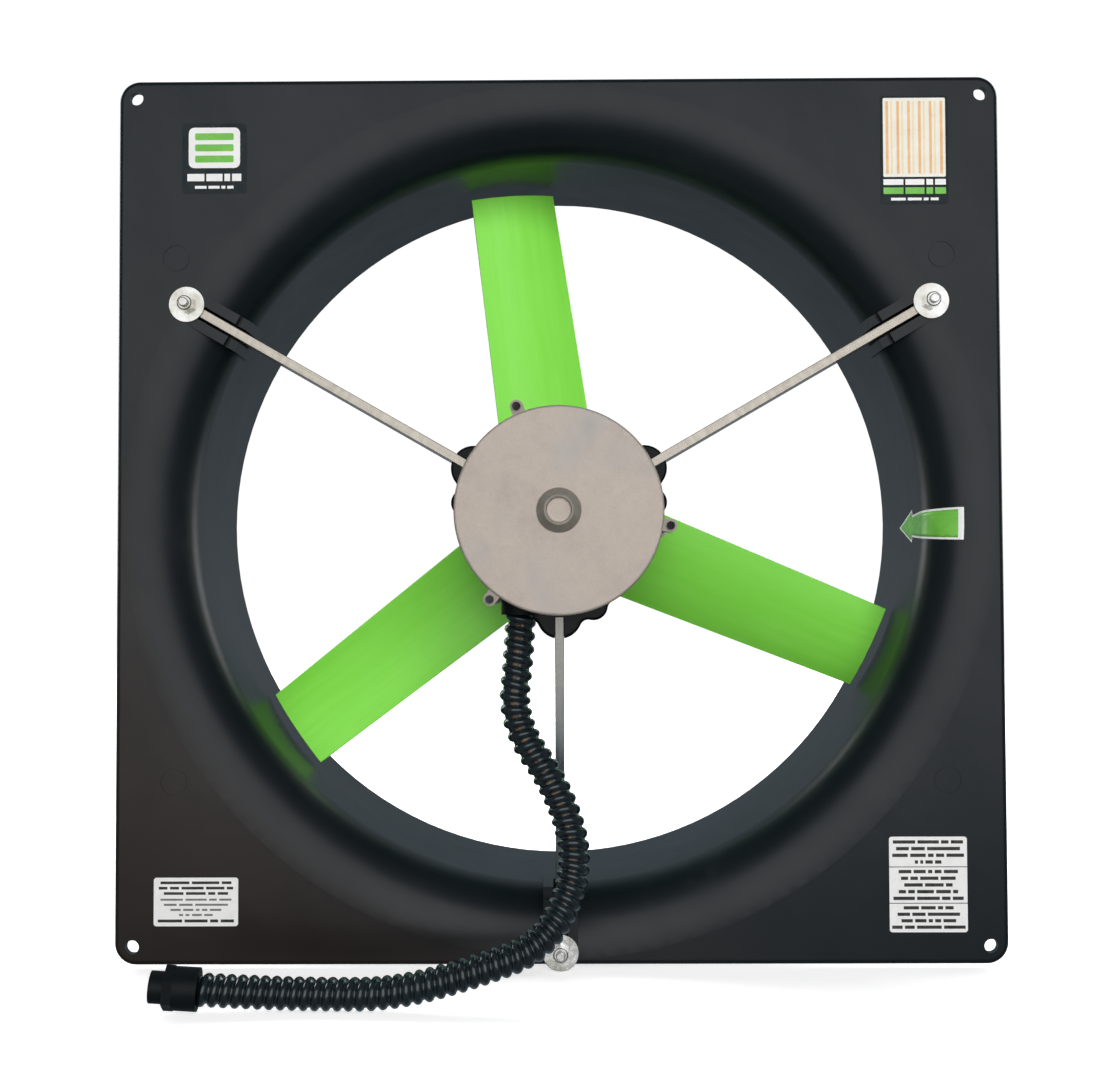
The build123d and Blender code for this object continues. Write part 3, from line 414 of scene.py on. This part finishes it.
node_materials = {
    "housing": housing_material,
    "motor_mount_front": mount_material,
    "motor_mount_rear": mount_material,
    "hub_front": hub_material,
    "hub_rear": hub_material,
    "motor_can": casting_material,
    "motor_end_cap": cap_material,
    "motor_rear_bell": casting_material,
    "stator_coils": copper_material,
    "stator_core": lamination_material,
    "rotor_core": lamination_material,
    "rotor_magnets": magnet_material,
    "controller_board": board_material,
    "motor_shaft": bearing_material,
    "shaft_key": bearing_material,
    "bearing_preload_washer": bearing_material,
    "strut_washers": zinc_material,
    "strut_nuts": zinc_material,
    "strut_bolts": stud_material,
    "shaft_washer": zinc_material,
    "shaft_nut": zinc_material,
    "mount_clamp_screws": dark_steel_material,
    "motor_mounting_screws": dark_steel_material,
    "motor_through_bolts": dark_steel_material,
    "hub_screws": dark_steel_material,
    "conduit_gland": fitting_material,
    "conduit_end_fitting": fitting_material,
}
for end in ("front", "rear"):
    for piece in ("outer_race", "inner_race", "balls"):
        node_materials[f"{end}_bearing_{piece}"] = bearing_material
for number, (angle, tone) in enumerate(BLADE_ANGLES_AND_PAINTED_LIGHT, start=1):
    node_materials[f"fan_blade_{number}"] = blade_finish(f"blade_plastic_{number}", angle, tone)
for strut, angle in STRUT_ANGLES.items():
    # Only the lower strut gets the painted shade low down.
    painted_shade = (0.40, 0.95) if strut == "strut_lower" else (0.0, 0.0)
    node_materials[strut] = flat_bar(f"{strut}_bar", (0.42, 0.385, 0.33), (0.64, 0.59, 0.52), angle, painted_shade)


# ---- conduit: the route repeats the CAD's points, a few moved a little; the ribs follow its smooth line ----
CONDUIT_DIAMETER = 0.021
CONDUIT_ROUTE = [
    (-26, -40, -67),
    (-27, -41, -92),
    (-32, -46, -138),
    (0, -58, -183),
    (13, -69, -230),
    (-8, -81, -277),
    (-53, -93, -291),
    (-104, -98, -303.5),
    (-153, -94, -304.7),
    (-202, -97, -302.2),
    (-227, -99, -300.2),
]
RIB_PITCHES = (0.0088, 0.0071)
PITCH_CHANGE = (0.05, 0.17)
ROOT_RADIUS = 0.0082
RIB_WIDTH = 0.0056
RIB_ROUNDNESS = 0.55
RINGS_PER_PITCH = 12
RING_POINTS = 36
SLOT_LENGTH = 0.20
SLOT_FACING = Vector((-0.12, -1, 0))
SLOT_HALF_WIDTH = 0.0020
SLOT_HALF_WIDTH_VARIES = 0.0006
SLOT_HALF_LENGTH = 0.00100
SLOT_DEPTHS = (0.00008, -0.0004)
SLOT_COLUMNS = 5


def smooth_line(name, route):
    """The points of a NURBS spline through the route's control points."""
    curve = bpy.data.curves.new(name, "CURVE")
    curve.dimensions = "3D"
    curve.resolution_u = 40
    spline = curve.splines.new("NURBS")
    spline.points.add(len(route) - 1)
    for point, place in zip(spline.points, route):
        point.co = (*(c * MM for c in place), 1)
    spline.order_u = 3
    spline.use_endpoint_u = True
    holder = bpy.data.objects.new(name, curve)
    mesh = bpy.data.meshes.new_from_object(holder)
    line = [v.co.copy() for v in mesh.vertices]
    bpy.data.meshes.remove(mesh)
    bpy.data.objects.remove(holder)
    bpy.data.curves.remove(curve)
    return line


def evenly(line, step):
    """Points about step apart along a line."""
    along = [0.0]
    for a, b in zip(line, line[1:]):
        along.append(along[-1] + (b - a).length)
    count = max(2, round(along[-1] / step) + 1)
    points, i = [], 0
    for k in range(count):
        at = along[-1] * k / (count - 1)
        while i < len(line) - 2 and along[i + 1] < at:
            i += 1
        share = (at - along[i]) / max(along[i + 1] - along[i], 1e-9)
        points.append(line[i].lerp(line[i + 1], min(1.0, share)))
    return points, along[-1]


def frames_along(points):
    """For each point its tangent and two cross directions that don't twist along the line."""
    tangents = []
    for i in range(len(points)):
        a, b = points[max(i - 1, 0)], points[min(i + 1, len(points) - 1)]
        tangents.append((b - a).normalized())
    side = tangents[0].orthogonal().normalized()
    frames = []
    for tangent in tangents:
        side = (side - tangent * side.dot(tangent)).normalized()
        frames.append((tangent, side, tangent.cross(side)))
    return frames


def rib_pitch(at):
    """The ribs are stretched apart near the motor and closer together further down."""
    share = min(1.0, max(0.0, (at - PITCH_CHANGE[0]) / (PITCH_CHANGE[1] - PITCH_CHANGE[0])))
    return RIB_PITCHES[0] + (RIB_PITCHES[1] - RIB_PITCHES[0]) * share


def rib_radius(turns, rib_share):
    """The conduit's radius at a place counted in rib pitches: a rounded rib, then an open valley."""
    rib = max(0.0, math.sin(math.pi * min(turns % 1.0 / rib_share, 1.0))) ** RIB_ROUNDNESS
    return ROOT_RADIUS + (CONDUIT_DIAMETER / 2 - ROOT_RADIUS) * rib


def make_conduit():
    """The ribbed conduit: a tube whose spiral ribs follow the route's smooth line."""
    line = smooth_line("conduit_line", CONDUIT_ROUTE)
    points, length = evenly(line, RIB_PITCHES[1] / RINGS_PER_PITCH)
    step = length / (len(points) - 1)
    around = RING_POINTS
    verts, turns = [], 0.0
    frames, wound = frames_along(points), []
    for i, (point, (_, side, up)) in enumerate(zip(points, frames)):
        pitch = rib_pitch(step * i)
        turns += step / pitch
        wound.append(turns)
        for j in range(around):
            turn = 2 * math.pi * j / around
            radius = rib_radius(turns + j / around, RIB_WIDTH / pitch)
            verts.append(point + (side * math.cos(turn) + up * math.sin(turn)) * radius)
    faces = grid_faces(len(points), around, closed_columns=True)
    faces.append(tuple(range(around)))
    faces.append(tuple((len(points) - 1) * around + j for j in range(around)))
    mesh = mesh_of("ribbed_conduit", verts, faces)
    conduit = link_mesh("ribbed_conduit", mesh, conduit_material, STILL)
    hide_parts("power_conduit")
    make_slots(points, frames, wound, step)


def make_slots(points, frames, wound, step):
    """A row of small brown slots, one in each valley, along the conduit's side that faces SLOT_FACING."""
    verts, faces = [], []
    columns = SLOT_COLUMNS
    for i in range(1, int(SLOT_LENGTH / step)):
        tangent, side, up = frames[i]
        facing = (SLOT_FACING - tangent * SLOT_FACING.dot(tangent)).normalized()
        across = tangent.cross(facing)
        turn = math.atan2(facing.dot(up), facing.dot(side)) / (2 * math.pi)
        valley = (1 + RIB_WIDTH / rib_pitch(step * i)) / 2
        before, after = ((wound[k] + turn - valley) // 1.0 for k in (i - 1, i))
        if after == before:
            continue
        half_width = SLOT_HALF_WIDTH + SLOT_HALF_WIDTH_VARIES * math.sin(7.3 * after)
        first = len(verts)
        for depth in SLOT_DEPTHS:
            for end in (-1, 1):
                for j in range(columns):
                    angle = half_width / ROOT_RADIUS * (2 * j / (columns - 1) - 1)
                    out = (facing * math.cos(angle) + across * math.sin(angle)) * (ROOT_RADIUS + depth)
                    verts.append(points[i] + tangent * SLOT_HALF_LENGTH * end + out)
        rows = [[first + n * columns + j for j in range(columns)] for n in range(4)]
        for low, high in ((rows[0], rows[1]), (rows[1], rows[3]), (rows[3], rows[2]), (rows[2], rows[0])):
            faces += [(low[j], low[j + 1], high[j + 1], high[j]) for j in range(columns - 1)]
        for j in (0, columns - 1):
            faces.append((rows[0][j], rows[1][j], rows[3][j], rows[2][j]))
    mesh = mesh_of("conduit_valley_slots", verts, faces)
    link_mesh("conduit_valley_slots", mesh, slot_material, STILL)


make_conduit()


# ---- stickers: each CAD sticker keeps its place and gets a plain generic print ----
dark_print = printed("sticker_dark", (0.001, 0.007, 0.010), (0.002, 0.011, 0.015), IOR=1.4)
white_print = printed("sticker_white", (0.88, 0.88, 0.87), (0.95, 0.95, 0.94))
cream_print = printed("sticker_cream", (0.86, 0.82, 0.73), (0.92, 0.89, 0.81))
orange_print = printed("sticker_orange", (0.80, 0.44, 0.17), (0.88, 0.56, 0.27))
yellow_print = printed("sticker_yellow", (0.86, 0.70, 0.42), (0.90, 0.77, 0.52))
green_print = printed("sticker_green", (0.13, 0.47, 0.05), (0.21, 0.60, 0.09))
ink_print = printed("sticker_ink", (0.020, 0.020, 0.020), (0.045, 0.045, 0.045))
grey_print = printed("sticker_grey", (0.16, 0.16, 0.16), (0.24, 0.24, 0.24))
node_materials["label_upper_left"] = dark_print
node_materials["label_upper_right"] = dark_print
node_materials["label_lower_left"] = white_print
node_materials["label_lower_right"] = white_print
node_materials["label_airflow"] = white_print

INK = 0.00004
CORNER_POINTS = 5
DASH_GAP = 0.03


def print_patches(name, node, patches, ink, corner=0.0, layer=1):
    """Flat patches on a sticker: (left, bottom, right, top) as shares of it. Ink is (material, slot); the
    slot is not used.
    """
    low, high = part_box(node)
    width, height = high.x - low.x, high.z - low.z
    front, back = low.y - layer * INK, low.y - (layer - 1) * INK
    verts, faces = [], []
    for left, bottom, right, top in patches:
        x0, x1 = low.x + left * width, low.x + right * width
        z0, z1 = low.z + bottom * height, low.z + top * height
        inset = min(corner, (x1 - x0) / 2.2, (z1 - z0) / 2.2)
        right_x, left_x, top_z, bottom_z = x1 - inset, x0 + inset, z1 - inset, z0 + inset
        corners = [(right_x, top_z), (left_x, top_z), (left_x, bottom_z), (right_x, bottom_z)]
        ring = []
        for quarter, (x, z) in enumerate(corners):
            for k in range(CORNER_POINTS if inset else 1):
                turn = math.radians(90 * quarter + 90 / (CORNER_POINTS - 1) * k)
                ring.append((x + inset * math.cos(turn), z + inset * math.sin(turn)))
        first, count = len(verts), len(ring)
        verts += [(x, front, z) for x, z in ring]
        verts += [(x, back, z) for x, z in ring]
        faces.append(tuple(first + k for k in range(count)))
        faces.append(tuple(first + count + k for k in reversed(range(count))))
        for k in range(count):
            n = (k + 1) % count
            faces.append((first + k, first + n, first + count + n, first + count + k))
    material, slot = ink
    link_mesh(name, mesh_of(name, verts, faces), material, STILL, smooth=False)


def dashes(bottom, top, widths, thick=0.5):
    """Rows of plain dashes, centred, one row for each width; a row breaks into three to five dashes."""
    patches = []
    step = (top - bottom) / len(widths)
    for k, width in enumerate(widths):
        middle = top - step * (k + 0.5)
        parts = 3 + (k * 5 + len(widths)) % 3
        shares = [1.0 + 0.6 * math.sin(3.1 * k + 1.7 * n + 0.8) for n in range(parts)]
        room = width - DASH_GAP * (parts - 1)
        at = 0.5 - width / 2
        for share in shares:
            length = room * share / sum(shares)
            patches.append((at, middle - step * thick / 2, at + length, middle + step * thick / 2))
            at += length + DASH_GAP
    return patches


def make_stickers():
    """Plain bands, panels and dashes stand in for the printing."""
    white, cream = (white_print, "label_white"), (cream_print, "label_cream")
    orange, yellow = (orange_print, "label_cream"), (yellow_print, "label_cream")
    green, black, grey = (green_print, "label_green"), (ink_print, "label_dark"), (grey_print, "label_dark")

    node = "label_upper_left"
    print_patches("sticker_upper_left_panel", node, [(0.10, 0.36, 0.90, 0.94)], white, corner=0.004)
    bands = [(0.20, bottom, 0.80, bottom + 0.10) for bottom in (0.44, 0.60, 0.76)]
    print_patches("sticker_upper_left_bands", node, bands, green, corner=0.001, layer=2)
    rows = dashes(0.15, 0.30, [0.84], 0.7) + dashes(0.04, 0.13, [0.60], 0.45)
    print_patches("sticker_upper_left_dashes", node, rows, white)

    node = "label_upper_right"
    print_patches("sticker_upper_right_panel", node, [(0.04, 0.25, 0.96, 0.98)], cream, corner=0.001)
    bands = [(0.08 + 0.16 * k, 0.28, 0.12 + 0.16 * k, 0.95) for k in range(6)]
    print_patches("sticker_upper_right_bands", node, bands, orange, layer=2)
    thin_bands = [(0.15 + 0.16 * k, 0.28, 0.18 + 0.16 * k, 0.95) for k in range(5)]
    print_patches("sticker_upper_right_thin_bands", node, thin_bands, yellow, layer=2)
    rows = dashes(0.165, 0.24, [0.92], 0.7) + dashes(0.02, 0.07, [0.70], 0.5)
    print_patches("sticker_upper_right_white_dashes", node, rows, white)
    print_patches("sticker_upper_right_green_dashes", node, dashes(0.085, 0.16, [0.92], 0.8), green)

    node = "label_lower_left"
    rows = dashes(0.62, 0.95, [0.84, 0.88, 0.76]) + dashes(0.05, 0.17, [0.90])
    print_patches("sticker_lower_left_dark_dashes", node, rows, black)
    rows = dashes(0.18, 0.60, [0.84, 0.76, 0.60, 0.40], 0.4)
    print_patches("sticker_lower_left_grey_dashes", node, rows, grey)

    node = "label_lower_right"
    rows = dashes(0.70, 0.98, [0.90, 0.82, 0.92, 0.34])
    rows += dashes(0.32, 0.67, [0.76, 0.70, 0.62, 0.76, 0.90])
    rows += dashes(0.02, 0.29, [0.64, 0.80, 0.70, 0.94])
    print_patches("sticker_lower_right_dashes", node, rows, black)
    lines = [(0.0, 0.300, 1.0, 0.308), (0.0, 0.680, 1.0, 0.688)]
    print_patches("sticker_lower_right_lines", node, lines, black, layer=2)


make_stickers()


# ---- the airflow arrow, wrapped on the bell and the throat ----
ARROW_TAIL_Y = 0.0055
ARROW_NECK_Y = 0.0535
ARROW_BARB_Y = 0.0550
ARROW_HEAD_Y = 0.0551
ARROW_END_Y = 0.0894
ARROW_TIP_Y = 0.0895
ARROW_TAIL_HALF_WIDTH = 0.0100
ARROW_TAPER = 0.0035
ARROW_HEAD_HALF_WIDTH = 0.0103
ARROW_LAYERS = (0.00034, 0.00028)
ARROW_COLUMNS = 9
TAIL_BUNCHING = 1.6
TAIL_ROWS = 40
HEAD_ROWS = 16


def bell_point(y, out):
    """Depth and distance from the axis of a point off the bell's or throat's wall by out, near depth y."""
    if y >= BELL_DEPTH:
        return y, THROAT_RADIUS - out
    width = BELL_RADIUS - THROAT_RADIUS
    share = 1 - y / BELL_DEPTH
    radius = BELL_RADIUS - width * math.sqrt(max(0.0, 1 - share * share))
    normal = Vector((math.sqrt(max(0.0, 1 - share * share)) / width, share / BELL_DEPTH)).normalized()
    return y - out * normal.y, radius - out * normal.x


def arrow_half_width(y):
    """The green arrow's half width at depth y: a slightly tapered tail, then the head."""
    if y < ARROW_BARB_Y:
        return ARROW_TAIL_HALF_WIDTH - ARROW_TAPER * (y - ARROW_TAIL_Y) / (ARROW_NECK_Y - ARROW_TAIL_Y)
    return ARROW_HEAD_HALF_WIDTH * (ARROW_TIP_Y - y) / (ARROW_TIP_Y - ARROW_BARB_Y)


def make_airflow_arrow():
    """The green arrow on the white CAD sticker, with its rows closer together on the bell's tight curve."""
    low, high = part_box("label_airflow")
    middle = (low.z + high.z) / 2
    tail, head = ARROW_NECK_Y - ARROW_TAIL_Y, ARROW_END_Y - ARROW_HEAD_Y
    depths = [ARROW_TAIL_Y + tail * (k / TAIL_ROWS) ** TAIL_BUNCHING for k in range(TAIL_ROWS + 1)]
    depths += [ARROW_HEAD_Y + head * k / HEAD_ROWS for k in range(HEAD_ROWS + 1)]
    across = ARROW_COLUMNS
    verts = []
    for layer in ARROW_LAYERS:
        for y in depths:
            half = arrow_half_width(y)
            depth, radius = bell_point(y, layer)
            for j in range(across):
                z = middle + half * (2 * j / (across - 1) - 1)
                verts.append((math.sqrt(radius * radius - z * z), depth, z))
    top = grid_faces(len(depths), across)
    shift = len(depths) * across
    faces = top + [tuple(i + shift for i in reversed(f)) for f in top]
    edge = list(range(across))
    edge += [i * across + across - 1 for i in range(1, len(depths))]
    edge += [(len(depths) - 1) * across + j for j in reversed(range(across - 1))]
    edge += [i * across for i in reversed(range(1, len(depths) - 1))]
    for a, b in zip(edge, edge[1:] + edge[:1]):
        faces.append((a, b, b + shift, a + shift))
    mesh = mesh_of("sticker_airflow_arrow", verts, faces)
    link_mesh("sticker_airflow_arrow", mesh, green_print, STILL)


make_airflow_arrow()


# ---- materials on the CAD's nodes ----
for name, obj in nodes.items():
    if name in node_materials:
        obj.data.materials.clear()
        obj.data.materials.append(node_materials[name])


# ---- floor, background and light ----
FLOOR_REACH = 12
FLOOR_GLOW = (0.60, 1.0)
FLOOR_GLOW_REACH = (0.7, 3.0)
BACKDROP_STRENGTH = 1.05


def make_floor():
    """A wide pale floor that doesn't show in the gloss of the parts, and melts into the backdrop."""
    far = FLOOR_REACH
    verts = [(x, y, FLOOR_Z) for x, y in ((-far, -far), (far, -far), (far, far), (-far, far))]
    floor = bpy.data.objects.new("floor", mesh_of("floor", verts, [(0, 1, 2, 3)]))
    bpy.context.scene.collection.objects.link(floor)
    finish = Finish("floor", Roughness=0.9, Emission_Color=(1, 1, 1, 1))
    glow = finish.spread(finish.length(finish.place), *FLOOR_GLOW, *FLOOR_GLOW_REACH)
    finish.join(glow, finish.shader, "Emission Strength")
    finish.shader.inputs["Specular IOR Level"].default_value = 0
    finish.colour(finish.ramp(finish.noise(3, 3), [(0.3, (0.92, 0.92, 0.92)), (0.7, (0.94, 0.94, 0.94))]))
    floor.data.materials.append(finish.material)
    floor.visible_glossy = False
    floor.visible_diffuse = False
    floor.visible_shadow = False


def make_world():
    """A white studio backdrop; the parts are lit by a much dimmer room, brighter behind the fan."""
    world = bpy.data.worlds.new("studio")
    bpy.context.scene.world = world
    world.use_nodes = True
    tree = world.node_tree
    place = tree.nodes.new("ShaderNodeTexCoord").outputs["Generated"]
    split = tree.nodes.new("ShaderNodeSeparateXYZ")
    tree.links.new(place, split.inputs[0])
    fade = tree.nodes.new("ShaderNodeValToRGB")
    front, rear = fade.color_ramp.elements
    front.position, front.color = 0.0, (0.10, 0.10, 0.10, 1)
    rear.position, rear.color = 0.6, (0.19, 0.23, 0.26, 1)
    tree.links.new(split.outputs["Y"], fade.inputs["Fac"])
    room = tree.nodes.new("ShaderNodeBackground")
    tree.links.new(fade.outputs["Color"], room.inputs["Color"])
    backdrop = tree.nodes.new("ShaderNodeBackground")
    backdrop.inputs["Color"].default_value = (1, 1, 1, 1)
    backdrop.inputs["Strength"].default_value = BACKDROP_STRENGTH
    seen = tree.nodes.new("ShaderNodeLightPath").outputs["Is Camera Ray"]
    either = tree.nodes.new("ShaderNodeMixShader")
    tree.links.new(seen, either.inputs[0])
    tree.links.new(room.outputs[0], either.inputs[1])
    tree.links.new(backdrop.outputs[0], either.inputs[2])
    tree.links.new(either.outputs[0], tree.nodes["World Output"].inputs["Surface"])


def make_light(name, place, aim, size, power, in_gloss=False):
    """A soft rectangular light; most don't show in the gloss of the parts."""
    data = bpy.data.lights.new(name, "AREA")
    data.shape = "RECTANGLE"
    data.size, data.size_y = size
    data.energy = power
    light = bpy.data.objects.new(name, data)
    light.location = place
    light.rotation_mode = "QUATERNION"
    light.rotation_quaternion = (Vector(aim) - Vector(place)).to_track_quat("-Z", "Y")
    light.visible_glossy = in_gloss
    bpy.context.scene.collection.objects.link(light)


make_floor()
make_world()
make_light("front", (0, -2.6, 0.5), (0, 0, 0.5), (3.2, 2.3), 24.5, in_gloss=True)
make_light("key", (0.5, -2.9, 0.7), (0, 0, 0), (2.0, 2.0), 58)
make_light("low_card", (0, -2.6, -0.95), (0, 0, -0.95), (0.30, 0.42), 0.35, in_gloss=True)
make_light("back", (0, 2.4, 2.6), (0, 0.2, 0), (3.0, 2.0), 120)
make_light("left", (-2.6, 1.5, 1.0), (0, 0.1, 0), (2.0, 2.0), 45, in_gloss=True)
make_light("right", (2.6, 1.5, 1.0), (0, 0.1, 0), (2.0, 2.0), 45, in_gloss=True)
bpy.context.scene.view_settings.view_transform = "Standard"
